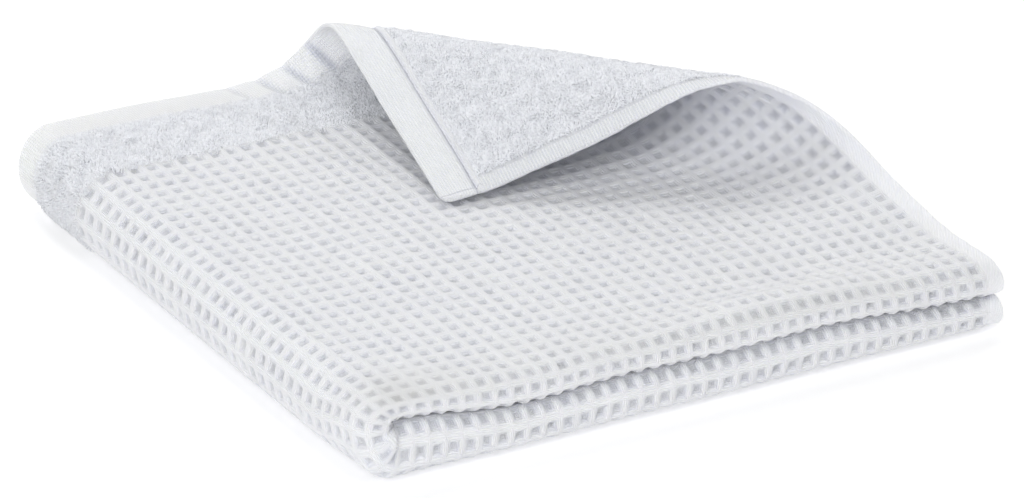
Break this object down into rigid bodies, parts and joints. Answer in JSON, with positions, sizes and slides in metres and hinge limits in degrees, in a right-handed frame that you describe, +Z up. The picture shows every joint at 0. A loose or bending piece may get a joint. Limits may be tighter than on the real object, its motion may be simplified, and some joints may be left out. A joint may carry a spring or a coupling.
{
  "type": "bath towel",
  "caption": "Waffle weave bath towel with terry loops inside, folded into a square stack with its top back corner turned over.",
  "frame": {"origin": "centre of the box's bottom, on the surface that the stack lies on", "axes": "+Z up, +X from the rounded side fold to the selvedges, +Y from the front folds to the hems"},
  "size_m": [0.3426, 0.3548, 0.0842],
  "materials": {
    "cotton": "matte white cotton, waffle weave outside and terry loops inside"
  },
  "bodies": {
    "root": {"towel": "cotton"}
  },
  "joints": []
}
